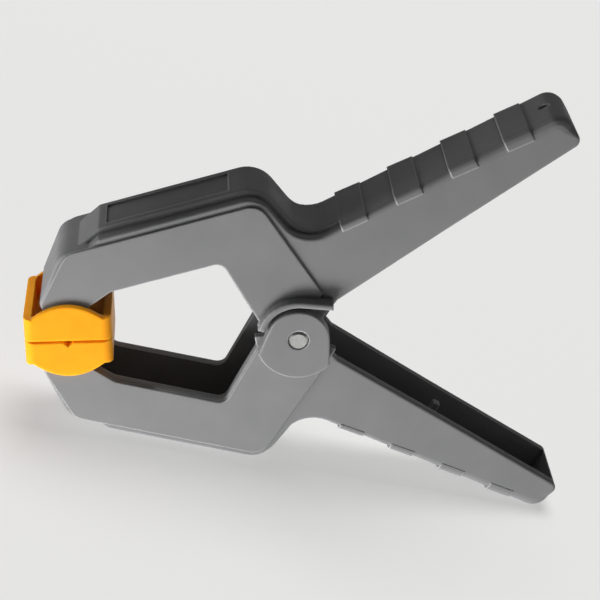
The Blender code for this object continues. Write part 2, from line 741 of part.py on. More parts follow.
def spring_points():
    """Centre line of the spring: lower leg, coil and upper leg."""
    touch = HANDLE_HEIGHT * math.cos(HANDLE_ANGLE) - BACK_WALL - WIRE_RADIUS - FIT
    lean = HANDLE_ANGLE + math.asin((touch - COIL_RADIUS) / LEG_LENGTH)
    first = -(lean + math.pi / 2)
    sweep = 2 * math.pi * (COIL_TURNS + 1) + 2 * first
    pitch = 2 * WIRE_RADIUS + COIL_GAP
    half = pitch * sweep / (4 * math.pi)
    count = math.ceil(POINTS_PER_TURN * sweep / (2 * math.pi))
    coil = []
    for step in range(count + 1):
        part = step / count
        turn = first - sweep * part
        coil.append(Vector((
            COIL_RADIUS * math.cos(turn), -half + 2 * half * part, COIL_RADIUS * math.sin(turn)
        )))
    lower = Vector((math.cos(lean), 0.0, -math.sin(lean)))
    upper = Vector((math.cos(lean), 0.0, math.sin(lean)))
    leg_steps = 4
    lower_leg = [coil[0] + lower * LEG_LENGTH * step / leg_steps for step in range(leg_steps, 0, -1)]
    upper_leg = [coil[-1] + upper * LEG_LENGTH * step / leg_steps for step in range(1, leg_steps + 1)]
    return lower_leg + coil + upper_leg, half


def least_gap(points):
    """Smallest gap of the wire to itself, left out along each point's own turn."""
    fine = []
    for start, end in zip(points, points[1:]):
        fine += [start.lerp(end, step / 6) for step in range(6)]
    fine.append(points[-1])
    spots = np.array([tuple(point) for point in fine])
    steps = np.linalg.norm(np.diff(spots, axis=0), axis=1)
    run = np.concatenate([[0.0], np.cumsum(steps)])
    apart = np.linalg.norm(spots[:, None] - spots[None, :], axis=2)
    near = np.abs(run[:, None] - run[None, :]) < math.pi * COIL_RADIUS
    apart[near] = np.inf
    return float(apart.min()) - 2 * WIRE_RADIUS


def torsion_spring(parent, spec):
    points, half = spring_points()
    print(f"spring: least gap to itself {least_gap(points) * 1000:.2f} mm")
    curve = bpy.data.curves.new("torsion_spring", "CURVE")
    curve.dimensions = "3D"
    curve.bevel_depth = WIRE_RADIUS
    curve.bevel_resolution = 1
    curve.use_fill_caps = True
    line = curve.splines.new("POLY")
    line.points.add(len(points) - 1)
    for spot, point in zip(line.points, points):
        spot.co = (*point, 1.0)
    made = bpy.data.objects.new("torsion_spring", curve)
    bpy.context.collection.objects.link(made)
    made.parent = parent
    curve.materials.append(spec)
    return made, half


def corners_of(pieces):
    """World positions of the finished pieces' vertices."""
    graph = bpy.context.evaluated_depsgraph_get()
    spots = []
    for piece in pieces:
        seen = piece.evaluated_get(graph)
        mesh = seen.to_mesh()
        spots += [tuple(seen.matrix_world @ vert.co) for vert in mesh.vertices]
        seen.to_mesh_clear()
    return np.array(spots)


def standing_tilt(spots):
    """Turn about Y that brings the lower arm's hump and handle end to one level."""
    jaw = spots[spots[:, 0] < 0.0]
    handle = spots[spots[:, 0] > 0.0]
    tilt = SPINE_ANGLE
    for _ in range(4):
        across = np.array([math.sin(tilt), 0.0, math.cos(tilt)])
        hump = jaw[np.argmin(jaw @ across)]
        end = handle[np.argmin(handle @ across)]
        tilt = math.atan2(hump[2] - end[2], end[0] - hump[0])
    return tilt


def settle(stand, lower, pieces):
    """Stands the clamp on its hump and handle end, with its origin under its box's middle."""
    bpy.context.view_layer.update()
    tilt = standing_tilt(corners_of([lower]))
    stand.rotation_euler = (0.0, -tilt, 0.0)
    bpy.context.view_layer.update()
    spots = corners_of(pieces)
    low = spots.min(axis=0)
    high = spots.max(axis=0)
    stand.location = (-(low[0] + high[0]) / 2, 0.0, -low[2])
    bpy.context.view_layer.update()
    print("standing tilt in degrees", round(math.degrees(tilt), 3))


def main():
    clear_scene()
    stand = bpy.data.objects.new("stand", None)
    bpy.context.collection.objects.link(stand)
    grey = material(GREY_PLASTIC)
    orange = material(ORANGE_PLASTIC)
    steel = material(BRIGHT_STEEL)
    upper = upper_arm(stand, grey)
    lower = lower_arm(stand, grey)
    upper_pad = jaw_pad("upper_jaw_pad", stand, 1, False, orange)
    lower_pad = jaw_pad("lower_jaw_pad", stand, -1, True, orange)
    spots = [(PIN_SPOT[0], 0.0, sign * PIN_SPOT[1]) for sign in (1, -1)]
    chamfer = PAD_PIN_SEAT / 3
    upper_pin = pin(
        "upper_pad_pin", stand, PAD_PIN_RADIUS, PAD_PIN_HALF, chamfer, steel, spots[0]
    )
    lower_pin = pin(
        "lower_pad_pin", stand, PAD_PIN_RADIUS, PAD_PIN_HALF, chamfer, steel, spots[1]
    )
    pivot = pin(
        "pivot_pin", stand, PIVOT_RADIUS, SHIELD_HALF + PIVOT_PROUD, PIVOT_CHAMFER, steel
    )
    spring, coil_half = torsion_spring(stand, material(SPRING_STEEL))
    reach = EAR_INNER - FIT
    tube = turned([
        (PIVOT_HOLE, -reach), (SLEEVE_OUTER, -reach), (SLEEVE_OUTER, reach), (PIVOT_HOLE, reach)
    ])
    sleeve = place("spring_sleeve", [tube], stand, material(BLACK_PLASTIC))
    pieces = [
        upper, lower, upper_pad, lower_pad, upper_pin, lower_pin, pivot, spring, sleeve
    ]
    settle(stand, lower, pieces)
    print("pivot", [round(value, 5) for value in pivot.matrix_world.translation])
    print("upper pad pin", [round(value, 5) for value in upper_pin.matrix_world.translation])
    print("lower pad pin", [round(value, 5) for value in lower_pin.matrix_world.translation])


main()
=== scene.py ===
# %% [markdown]
# # Dressing a hand spring clamp
# The clamp has two moulded arms that cross at a steel pin, a coiled spring that pushes the
# handles apart, and two orange pads that swivel on the jaw tips. The solids are exact already,
# so this lesson keeps them where they are and gives them finishes, light and a camera. Only the
# spring is drawn again, with a rounder wire. The solids' box is kept from the start, and at the
# end its size is printed beside the dressed clamp's.

# %% Load the solids
import json
import math

import bmesh
import bpy
from mathutils import Matrix, Vector


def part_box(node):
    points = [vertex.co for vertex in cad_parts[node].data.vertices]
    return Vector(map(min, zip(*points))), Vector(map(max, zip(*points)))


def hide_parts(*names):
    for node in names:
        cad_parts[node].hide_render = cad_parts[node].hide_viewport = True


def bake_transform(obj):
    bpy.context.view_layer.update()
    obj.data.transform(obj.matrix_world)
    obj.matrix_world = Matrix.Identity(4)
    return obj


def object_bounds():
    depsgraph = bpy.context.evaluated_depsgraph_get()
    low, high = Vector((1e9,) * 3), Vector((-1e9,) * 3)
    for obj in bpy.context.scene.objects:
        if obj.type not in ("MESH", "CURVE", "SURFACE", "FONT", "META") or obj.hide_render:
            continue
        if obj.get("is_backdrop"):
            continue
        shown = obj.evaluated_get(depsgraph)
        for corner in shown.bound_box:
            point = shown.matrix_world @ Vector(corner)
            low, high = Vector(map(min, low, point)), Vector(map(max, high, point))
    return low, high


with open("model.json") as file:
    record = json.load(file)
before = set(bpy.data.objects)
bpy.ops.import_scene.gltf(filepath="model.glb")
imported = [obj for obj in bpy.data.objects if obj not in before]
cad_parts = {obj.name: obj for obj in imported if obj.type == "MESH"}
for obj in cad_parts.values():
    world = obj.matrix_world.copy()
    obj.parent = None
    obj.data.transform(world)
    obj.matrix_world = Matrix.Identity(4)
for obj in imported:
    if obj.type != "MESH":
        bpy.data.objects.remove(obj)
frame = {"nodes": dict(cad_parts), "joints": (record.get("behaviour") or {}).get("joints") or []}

solid_box = [list(corner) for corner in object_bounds()]
nodes = frame["nodes"]
print("solids:", ", ".join(sorted(nodes)))

# %% [markdown]
# ## The clamp's own directions
# The clamp stands on the hump of its lower jaw and on the end of its lower handle, so it leans.
# Its two halves mirror each other, and the line from one pad's pin to the other's is square to
# the mirror plane. That gives the lean without typing an angle. A matrix then takes a point from
# the clamp's own directions, with the pivot at zero, to where the clamp stands.

# %% Find the pivot and the lean
joint_place = {joint["name"]: Vector(joint["pos_m"]) for joint in frame["joints"]}
pivot = joint_place["jaw_open"]
across_jaws = joint_place["upper_pad_swivel"] - joint_place["lower_pad_swivel"]
lean = math.atan2(-across_jaws.x, across_jaws.z)
clamp_frame = Matrix.Translation(pivot) @ Matrix.Rotation(-lean, 4, "Y")
print(f"pivot {tuple(round(value, 4) for value in pivot)}, lean {math.degrees(lean):.2f} degrees")

# %% [markdown]
# ## Camera
# A camera is placed by three things: where it looks from, how long its lens is, and where the
# pivot falls in the picture. A long lens from under a metre away keeps the near and far walls
# of the arms almost parallel. The camera's axes are the columns of its matrix: right, up and
# back. Moving the camera sideways along its own axes puts the pivot at its place in the frame.

# %% Work out where the camera stands
VIEW_RISE = math.radians(28.0)
VIEW_SIDE = math.radians(-3.3)
VIEW_DISTANCE = 0.836
LENS = 120.0
SENSOR = 36.0
FRAME_WIDTH = 600
PIVOT_ACROSS = 295.15
PIVOT_DOWN = 312.3

level = math.cos(VIEW_RISE)
back = Vector((math.sin(VIEW_SIDE) * level, -math.cos(VIEW_SIDE) * level, math.sin(VIEW_RISE)))
right = Vector((0, 0, 1)).cross(back).normalized()
up = back.cross(right)
one_dot = VIEW_DISTANCE * SENSOR / LENS / FRAME_WIDTH
stand = (
    back * VIEW_DISTANCE
    - right * (PIVOT_ACROSS - FRAME_WIDTH / 2) * one_dot
    + up * (PIVOT_DOWN - FRAME_WIDTH / 2) * one_dot
)
axes = Matrix((right, up, back)).transposed().to_4x4()
print(f"one dot of the picture is {one_dot * 1000:.3f} mm at the pivot")

# %% [markdown]
# ## Placing the camera
# The place and the axes were worked out in the clamp's own directions, so the clamp's matrix
# comes first in the product, and the camera leans with the clamp. The Standard view transform
# shows colours as they are written.

# %% Make the camera
NEAR_CLIP = 0.05
FAR_CLIP = 50.0

camera = bpy.data.objects.new("camera", bpy.data.cameras.new("camera"))
camera.data.lens = LENS
camera.data.sensor_width = SENSOR
camera.data.clip_start = NEAR_CLIP
camera.data.clip_end = FAR_CLIP
camera.matrix_world = clamp_frame @ Matrix.Translation(stand) @ axes
bpy.context.scene.collection.objects.link(camera)
bpy.context.scene.camera = camera
bpy.context.scene.view_settings.view_transform = "Standard"
print(f"camera {(camera.matrix_world.translation - pivot).length:.3f} m from the pivot")

# %% [markdown]
# ## Floor
# The floor is one wide sheet. It could be a curved backdrop, but a flat sheet looks the same from
# every side. It lies a hair below zero, so that it doesn't flicker with what stands on it.

# %% Make the floor
FLOOR_HALF = 8.0
FLOOR_DROP = 0.0002

floor_mesh = bpy.data.meshes.new("floor")
sheet = bmesh.new()
bmesh.ops.create_grid(sheet, x_segments=1, y_segments=1, size=FLOOR_HALF)
sheet.to_mesh(floor_mesh)
sheet.free()
floor = bpy.data.objects.new("floor", floor_mesh)
floor.location.z = -FLOOR_DROP
bpy.context.scene.collection.objects.link(floor)
floor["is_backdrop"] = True
print("floor: one sheet,", FLOOR_HALF * 2, "m wide")

# %% [markdown]
# ## Floor coat
# Part of the floor's paleness is a glow for the rays that come from the camera or from a shiny
# surface, so that it looks pale without throwing that light on the clamp. For all other rays it
# glows much less. The rest is a matt coat, which keeps the shadow. The Light Path node tells the
# rays apart, and the sky uses the same helper later.

# %% Coat the floor
FLOOR_COLOUR = (0.30, 0.30, 0.297, 1.0)
FLOOR_ROUGHNESS = 0.95
FLOOR_SHINE = 0.1
GLOW_COLOUR = (1.0, 1.0, 0.99, 1.0)
FLOOR_GLOW = 0.46
FLOOR_LIGHT = 0.12


def seen_rays(tree):
    """A value that is 1 for rays from the camera, a shiny surface or through glass."""
    path = tree.nodes.new("ShaderNodeLightPath")
    first = tree.nodes.new("ShaderNodeMath")
    first.operation = "MAXIMUM"
    second = tree.nodes.new("ShaderNodeMath")
    second.operation = "MAXIMUM"
    tree.links.new(path.outputs["Is Camera Ray"], first.inputs[0])
    tree.links.new(path.outputs["Is Glossy Ray"], first.inputs[1])
    tree.links.new(first.outputs[0], second.inputs[0])
    tree.links.new(path.outputs["Is Transmission Ray"], second.inputs[1])
    return second.outputs[0]


floor_coat = bpy.data.materials.new("floor_coat")
floor_coat.use_nodes = True
tree = floor_coat.node_tree
matt = tree.nodes["Principled BSDF"]
matt.inputs["Base Color"].default_value = FLOOR_COLOUR
matt.inputs["Roughness"].default_value = FLOOR_ROUGHNESS
matt.inputs["Specular IOR Level"].default_value = FLOOR_SHINE
matt.inputs["Emission Color"].default_value = GLOW_COLOUR
glow = tree.nodes.new("ShaderNodeMix")
glow.inputs["A"].default_value = FLOOR_LIGHT
glow.inputs["B"].default_value = FLOOR_GLOW
tree.links.new(seen_rays(tree), glow.inputs["Factor"])
tree.links.new(glow.outputs["Result"], matt.inputs["Emission Strength"])
floor_mesh.materials.append(floor_coat)
print("floor coat: glow", FLOOR_GLOW, "where it is seen,", FLOOR_LIGHT, "elsewhere")

# %% [markdown]
# ## Soft boxes
# The side faces of the clamp are clearly lighter than its top faces, and rounded rims darken
# upwards, as on a light table. So the main lights are soft boxes on all four sides, below the
# level of the floor, and there is only a weak one from above. The front one is small and near
# the jaws, so its light falls off towards the handles. A lamp shines along its own minus Z
# axis, so it is aimed by turning its Z axis to the side that the light comes from.

# %% Make the soft boxes


def add_lamp(name, kind, power, light_from):
    lamp = bpy.data.objects.new(name, bpy.data.lights.new(name, kind))
    lamp.data.energy = power
    lamp.rotation_euler = light_from.to_track_quat("Z", "Y").to_euler()
    bpy.context.scene.collection.objects.link(lamp)
    return lamp


def soft_box(name, light_from, distance, width, height, power):
    """A wide lamp aimed at the pivot. Lengths are in metres and the power is in watts."""
    light_from = Vector(light_from).normalized()
    lamp = add_lamp(name, "AREA", power, light_from)
    lamp.data.shape = "RECTANGLE"
    lamp.data.size = width
    lamp.data.size_y = height
    lamp.location = pivot + light_from * distance
    return lamp


low_lamps = [
    soft_box("front_light", (-0.40, -0.80, -0.80), 0.50, 0.3, 0.2, 2.95),
    soft_box("left_light", (-0.88, -0.20, -0.42), 1.30, 0.5, 0.4, 10.0),
    soft_box("right_light", (0.85, -0.15, -0.50), 1.30, 0.5, 0.4, 4.0),
    soft_box("rear_light", (0.15, 0.80, -0.58), 1.30, 0.7, 0.4, 15.0),
]
soft_box("top_light", (0.05, 0.66, 0.75), 1.40, 0.8, 0.5, 1.7)
print("soft boxes:", len(low_lamps), "low and one high")

# %% [markdown]
# ## Spot and sun
# A narrow spot from the upper left picks out the rims of the pads and the nose of the jaw. Its
# edge is blended all the way to the middle, so no circle shows. A soft sun from above is for
# the floor alone, to give the clamp its shadow. The wider the sun, the softer the shadow.

# %% Make the spot and the sun
SPOT_POWER = 30.0
SPOT_CONE = math.radians(5.6)
SPOT_BLEND = 1.0
SPOT_RADIUS = 0.04
SPOT_FROM = Vector((-0.62, -0.05, 0.78))
SPOT_SHIFT = Vector((-0.020, 0.0, 0.0))
SPOT_DISTANCE = 1.0
SUN_POWER = 3.0
SUN_WIDTH = math.radians(40.0)
SUN_FROM = Vector((0.05, 0.25, 0.95))

jaw_lamp = add_lamp("jaw_light", "SPOT", SPOT_POWER, SPOT_FROM)
jaw_lamp.data.spot_size = SPOT_CONE
jaw_lamp.data.spot_blend = SPOT_BLEND
jaw_lamp.data.shadow_soft_size = SPOT_RADIUS
lit_spot = joint_place["upper_pad_swivel"] + SPOT_SHIFT
jaw_lamp.location = lit_spot + SPOT_FROM.normalized() * SPOT_DISTANCE

shadow_lamp = add_lamp("shadow_light", "SUN", SUN_POWER, SUN_FROM)
shadow_lamp.data.angle = SUN_WIDTH

# %% [markdown]
# ## Light linking
# A lamp below the floor would light the floor from underneath and get no further. Light linking
# names what a lamp lights and what stands in its way, by a collection. One collection holds the
# floor alone, for the sun. The other holds the floor as an exception, for the low lamps and the
# spot, which then reach all but the floor. They don't show in shiny surfaces either, which keeps
# glare off the far edges.

# %% Link the lamps
on_the_floor = bpy.data.collections.new("on_the_floor")
on_the_floor.objects.link(floor)
shadow_lamp.light_linking.receiver_collection = on_the_floor

off_the_floor = bpy.data.collections.new("off_the_floor")
off_the_floor.objects.link(floor)
off_the_floor.collection_objects[0].light_linking.link_state = "EXCLUDE"
for lamp in low_lamps + [jaw_lamp]:
    lamp.light_linking.receiver_collection = off_the_floor
    lamp.light_linking.blocker_collection = off_the_floor
    lamp.visible_glossy = False
print("lamps that leave out the floor:", len(low_lamps) + 1)

# %% [markdown]
# ## Sky
# The sky is pale at the horizon, where a low camera sees it, and dark above, so that the top
# faces don't shine. The height of a direction is the Z of its coordinates, so a map range on it
# makes the fade. As light on the clamp, the sky is only a weak even fill.

# %% Make the sky
SKY_COLOUR = (1.0, 1.0, 1.0, 1.0)
SKY_FILL = 0.09
SKY_LOW = 0.76
SKY_HIGH = 0.05
FADE_START = 0.10
FADE_END = 0.34

sky = bpy.data.worlds.new("studio")
bpy.context.scene.world = sky
sky.use_nodes = True
tree = sky.node_tree
background = tree.nodes["Background"]
background.inputs["Color"].default_value = SKY_COLOUR
direction = tree.nodes.new("ShaderNodeTexCoord").outputs["Generated"]
heading = tree.nodes.new("ShaderNodeSeparateXYZ")
tree.links.new(direction, heading.inputs["Vector"])
fade = tree.nodes.new("ShaderNodeMapRange")
fade.inputs["From Min"].default_value = FADE_START
fade.inputs["From Max"].default_value = FADE_END
fade.inputs["To Min"].default_value = SKY_LOW
fade.inputs["To Max"].default_value = SKY_HIGH
tree.links.new(heading.outputs["Z"], fade.inputs["Value"])
seen = tree.nodes.new("ShaderNodeMix")
seen.inputs["A"].default_value = SKY_FILL
tree.links.new(fade.outputs["Result"], seen.inputs["B"])
tree.links.new(seen_rays(tree), seen.inputs["Factor"])
tree.links.new(seen.outputs["Result"], background.inputs["Strength"])
print("sky: from", SKY_LOW, "at the horizon to", SKY_HIGH, "above")

# %% [markdown]
# ## Helpers for patterns
# Every finish is a small node tree, and all of them begin alike: a principled shader, and the
# object's own coordinates in metres, so that a grain of half a millimetre is half a millimetre
# on every piece. One helper makes noise, and one turns it into a range of numbers.

# %% Write the pattern helpers


def new_finish(name):
    finish = bpy.data.materials.new(name)
    finish.use_nodes = True
    tree = finish.node_tree
    place = tree.nodes.new("ShaderNodeTexCoord").outputs["Object"]
    return finish, tree, tree.nodes["Principled BSDF"], place


def noise(tree, place, size, detail=2.0, stretch=(1.0, 1.0, 1.0)):
    """Noise whose blotches are about the given size in metres."""
    mapping = tree.nodes.new("ShaderNodeMapping")
    mapping.inputs["Scale"].default_value = stretch
    tree.links.new(place, mapping.inputs["Vector"])
    pattern = tree.nodes.new("ShaderNodeTexNoise")
    pattern.inputs["Scale"].default_value = 1.0 / size
    pattern.inputs["Detail"].default_value = detail
    tree.links.new(mapping.outputs["Vector"], pattern.inputs["Vector"])
    return pattern.outputs["Fac"]


def spread(tree, value, low, high, start=0.3, end=0.7):
    """The value's range from start to end becomes low to high."""
    ranges = tree.nodes.new("ShaderNodeMapRange")
    ranges.inputs["From Min"].default_value = start
    ranges.inputs["From Max"].default_value = end
    ranges.inputs["To Min"].default_value = low
    ranges.inputs["To Max"].default_value = high
    tree.links.new(value, ranges.inputs["Value"])
    return ranges.outputs["Result"]


print("pattern helpers ready")

# %% [markdown]
# ## Helpers for colour and relief
# A finish is layered: one colour over another, as a pattern says. So a colour may be three
# numbers or the result of an earlier layer. Relief is a bump, which turns the shading and not
# the shape, and is kept for grain that is finer than any face.

# %% Write the colour and relief helpers


def two_tone(tree, value, first, second):
    """A colour that goes from the first to the second as the value goes from 0 to 1."""
    mix = tree.nodes.new("ShaderNodeMix")
    mix.data_type = "RGBA"
    for side, colour in (("A", first), ("B", second)):
        if isinstance(colour, tuple):
            mix.inputs[side].default_value = (*colour, 1.0)
        else:
            tree.links.new(colour, mix.inputs[side])
    tree.links.new(value, mix.inputs["Factor"])
    return mix.outputs["Result"]


def bump(tree, height, depth, under=None):
    """A normal that rises and falls with the height, by about the given depth in metres."""
    relief = tree.nodes.new("ShaderNodeBump")
    relief.inputs["Strength"].default_value = 1.0
    relief.inputs["Distance"].default_value = depth
    tree.links.new(height, relief.inputs["Height"])
    if under is not None:
        tree.links.new(under, relief.inputs["Normal"])
    return relief.outputs["Normal"]


def dress(finish, *names):
    """Give solids a finish, in place of the one that they came with."""
    for name in names:
        nodes[name].data.materials.clear()
        nodes[name].data.materials.append(finish)


print("colour and relief helpers ready")

# %% [markdown]
# ## Painted edge highlights and painted corner shade
# On the edges a lighter colour is painted on as a highlight, for the light that small rounded
# edges catch. The bevel node gives the normal that a rounded edge would have. Where it differs
# from the true normal there is an edge, so the dot product of the two makes a mask, with no
# painting by hand. In the inner corners a darker colour is painted on as shade, where little
# light reaches. There the ambient occlusion node, with a reach of a few millimetres, finds a near
# wall, which makes the second mask.

# %% Write the masks
BEVEL_SAMPLES = 6
EDGE_FULL = 0.80
EDGE_NONE = 0.985
CORNER_SAMPLES = 8
CORNER_FULL = 0.40
CORNER_NONE = 0.85


def rounded_normal(tree, radius):
    """The normal that the surface would have with its edges rounded."""
    soft = tree.nodes.new("ShaderNodeBevel")
    soft.samples = BEVEL_SAMPLES
    soft.inputs["Radius"].default_value = radius
    return soft.outputs["Normal"]


def edge_highlight_mask(tree, soft_normal):
    """A value that is 0 on open faces and rises to 1 on edges."""
    true = tree.nodes.new("ShaderNodeNewGeometry")
    dot = tree.nodes.new("ShaderNodeVectorMath")
    dot.operation = "DOT_PRODUCT"
    tree.links.new(soft_normal, dot.inputs[0])
    tree.links.new(true.outputs["Normal"], dot.inputs[1])
    return spread(tree, dot.outputs["Value"], 1.0, 0.0, EDGE_FULL, EDGE_NONE)


def corner_shade_mask(tree, reach):
    """A value that is 1 on open faces and falls to 0 in the corners where two faces meet."""
    shade = tree.nodes.new("ShaderNodeAmbientOcclusion")
    shade.samples = CORNER_SAMPLES
    shade.only_local = True
    shade.inputs["Distance"].default_value = reach
    return spread(tree, shade.outputs["AO"], 0.0, 1.0, CORNER_FULL, CORNER_NONE)


print("edge and corner masks ready")

# %% [markdown]
# ## Grey moulded plastic
# The arms are a filled plastic from a spark-eroded mould, so the skin has a fine even grain
# and a soft, dull shine. Wide clouds, slightly paler and darker, are the flow of the plastic.
# The grain is bump only, because it is finer than any face. The edges get a painted highlight,
# and the inner corners get painted shade.

# %% Make the grey plastic
GREY = (0.225, 0.225, 0.228)
GREY_DARK = (0.205, 0.206, 0.210)
# Painted highlight: a light grey laid on the edges, for the light that they would catch.
GREY_PAINTED_HIGHLIGHT = (0.650, 0.650, 0.650)
# Painted shade: a near-black laid into the inner corners, where shade falls.
GREY_PAINTED_SHADE = (0.070, 0.070, 0.070)
GREY_CLOUD = 0.018
GREY_EDGE = 0.0010
PAINTED_SHADE_REACH = 0.0025
GREY_PATCH = 0.007
GREY_ROUGHNESS = (0.55, 0.68)
GREY_GRAIN = 0.00045
GREY_GRAIN_DEPTH = 0.00004
GREY_SHINE = 0.20

grey_plastic, tree, shader, place = new_finish("grey_moulded_plastic")
clouds = spread(tree, noise(tree, place, GREY_CLOUD, 3.0), 0.0, 1.0)
soft_normal = rounded_normal(tree, GREY_EDGE)
body = two_tone(tree, clouds, GREY_DARK, GREY)
# The edges of the grey get the painted highlight.
with_painted_highlight = two_tone(tree, edge_highlight_mask(tree, soft_normal), body, GREY_PAINTED_HIGHLIGHT)
# The inner corners of the grey get the painted shade.
with_painted_shade = two_tone(tree, corner_shade_mask(tree, PAINTED_SHADE_REACH), GREY_PAINTED_SHADE, with_painted_highlight)
tree.links.new(with_painted_shade, shader.inputs["Base Color"])
patches = spread(tree, noise(tree, place, GREY_PATCH), *GREY_ROUGHNESS)
tree.links.new(patches, shader.inputs["Roughness"])
grain = noise(tree, place, GREY_GRAIN, 3.0)
tree.links.new(bump(tree, grain, GREY_GRAIN_DEPTH, soft_normal), shader.inputs["Normal"])
shader.inputs["Specular IOR Level"].default_value = GREY_SHINE
dress(grey_plastic, "upper_arm", "lower_arm")
print("grey plastic on both arms")

# %% [markdown]
# ## Orange pads
# The pads are a softer, smoother plastic with a satin skin. Some light goes into it and comes
# out warmer a few millimetres on, which is what subsurface does, so the shaded rims stay orange
# and don't turn grey. Too much of it would show the pins inside as dark blurs.

# %% Make the orange plastic
ORANGE = (0.980, 0.390, 0.015)
ORANGE_DEEP = (0.950, 0.355, 0.012)
# Painted highlight: a lighter orange laid on the edges, for the light that they would catch.
ORANGE_PAINTED_HIGHLIGHT = (1.000, 0.480, 0.030)
ORANGE_CLOUD = 0.010
ORANGE_EDGE = 0.0006
ORANGE_PATCH = 0.004
ORANGE_ROUGHNESS = (0.38, 0.50)
ORANGE_GRAIN = 0.00060
ORANGE_GRAIN_DEPTH = 0.00002
ORANGE_SHINE = 0.20
GLOW_SHARE = 0.35
GLOW_REACH = 0.003
GLOW_BY_COLOUR = (1.0, 0.80, 0.20)

orange_plastic, tree, shader, place = new_finish("orange_satin_plastic")
clouds = spread(tree, noise(tree, place, ORANGE_CLOUD), 0.0, 1.0)
soft_normal = rounded_normal(tree, ORANGE_EDGE)
body = two_tone(tree, clouds, ORANGE_DEEP, ORANGE)
# The edges of the pads get the painted highlight.
with_painted_highlight = two_tone(tree, edge_highlight_mask(tree, soft_normal), body, ORANGE_PAINTED_HIGHLIGHT)
tree.links.new(with_painted_highlight, shader.inputs["Base Color"])
patches = spread(tree, noise(tree, place, ORANGE_PATCH), *ORANGE_ROUGHNESS)
tree.links.new(patches, shader.inputs["Roughness"])
grain = noise(tree, place, ORANGE_GRAIN)
tree.links.new(bump(tree, grain, ORANGE_GRAIN_DEPTH, soft_normal), shader.inputs["Normal"])
shader.inputs["Specular IOR Level"].default_value = ORANGE_SHINE
shader.inputs["Subsurface Weight"].default_value = GLOW_SHARE
shader.inputs["Subsurface Radius"].default_value = GLOW_BY_COLOUR
shader.inputs["Subsurface Scale"].default_value = GLOW_REACH
dress(orange_plastic, "upper_jaw_pad", "lower_jaw_pad")
print("orange plastic on both pads")

# %% [markdown]
# ## Turned steel
# Pins are turned on a lathe, which leaves rings round their axis. A wave of rings about the
# pin's own centre line, a third of a millimetre apart, gives the flat ends their tool marks.
# Each pin has another centre, so the finish is made once for each of them.

# %% Make the turned steel
STEEL = (0.66, 0.66, 0.64)
STEEL_DULL = (0.54, 0.54, 0.53)
STEEL_STAIN = 0.0025
STEEL_EDGE = 0.0003
STEEL_ROUGHNESS = (0.30, 0.42)
RING_SCALE = 900.0
RING_WOBBLE = 1.5
RING_DETAIL = 2.0
RING_DEPTH = 0.000015


def turned_steel(name):
    low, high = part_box(name)
    centre = (Vector(low) + Vector(high)) / 2
    finish, tree, shader, place = new_finish("turned_steel_" + name)
    move = tree.nodes.new("ShaderNodeMapping")
    move.vector_type = "POINT"
    move.inputs["Location"].default_value = -centre
    tree.links.new(place, move.inputs["Vector"])
    wave = tree.nodes.new("ShaderNodeTexWave")
    wave.wave_type = "RINGS"
    wave.rings_direction = "Y"
    wave.inputs["Scale"].default_value = RING_SCALE
    wave.inputs["Distortion"].default_value = RING_WOBBLE
    wave.inputs["Detail"].default_value = RING_DETAIL
    tree.links.new(move.outputs["Vector"], wave.inputs["Vector"])
    rings = wave.outputs["Fac"]
    stain = spread(tree, noise(tree, place, STEEL_STAIN, 3.0), 0.0, 1.0)
    tree.links.new(two_tone(tree, stain, STEEL_DULL, STEEL), shader.inputs["Base Color"])
    marks = spread(tree, rings, *STEEL_ROUGHNESS, 0.0, 1.0)
    tree.links.new(marks, shader.inputs["Roughness"])
    soft_normal = rounded_normal(tree, STEEL_EDGE)
    tree.links.new(bump(tree, rings, RING_DEPTH, soft_normal), shader.inputs["Normal"])
    shader.inputs["Metallic"].default_value = 1.0
    dress(finish, name)


for name in ("pivot_pin", "upper_pad_pin", "lower_pad_pin"):
    turned_steel(name)
print("turned steel on three pins")

# %% [markdown]
# ## Black sleeve
# The sleeve is a plain black tube that keeps the coil centred on the pin. Rubbing by the coil
# leaves faint bands along its length, made with a noise that is stretched round the tube.

# %% Make the black plastic
BLACK = (0.030, 0.030, 0.031)
BLACK_RUBBED = (0.060, 0.060, 0.060)
BAND_SIZE = 0.004
BAND_STRETCH = (0.2, 3.0, 0.2)
BAND_START = 0.45
BAND_END = 0.75
BLACK_ROUGHNESS = (0.55, 0.38)
BLACK_GRAIN = 0.0005
BLACK_GRAIN_DEPTH = 0.00002

black_plastic, tree, shader, place = new_finish("black_sleeve_plastic")
streaks = noise(tree, place, BAND_SIZE, stretch=BAND_STRETCH)
bands = spread(tree, streaks, 0.0, 1.0, BAND_START, BAND_END)
tree.links.new(two_tone(tree, bands, BLACK, BLACK_RUBBED), shader.inputs["Base Color"])
tree.links.new(spread(tree, bands, *BLACK_ROUGHNESS, 0.0, 1.0), shader.inputs["Roughness"])
grain = noise(tree, place, BLACK_GRAIN)
tree.links.new(bump(tree, grain, BLACK_GRAIN_DEPTH), shader.inputs["Normal"])
dress(black_plastic, "spring_sleeve")
print("black plastic on the sleeve")

# %% [markdown]
# ## Spring wire
# The spring is one round wire: a leg down the lower handle, a few turns round the sleeve, and a
# leg up the upper handle. The solid has few points, so a smoother wire takes its place. To lie
# where the solid lies, it needs the length and the lean of a leg. They come from the solid's own
# end face, which is the group of points farthest from the pivot.

# %% Measure the legs
WIRE_RADIUS = 0.0018
COIL_RADIUS = 0.0090

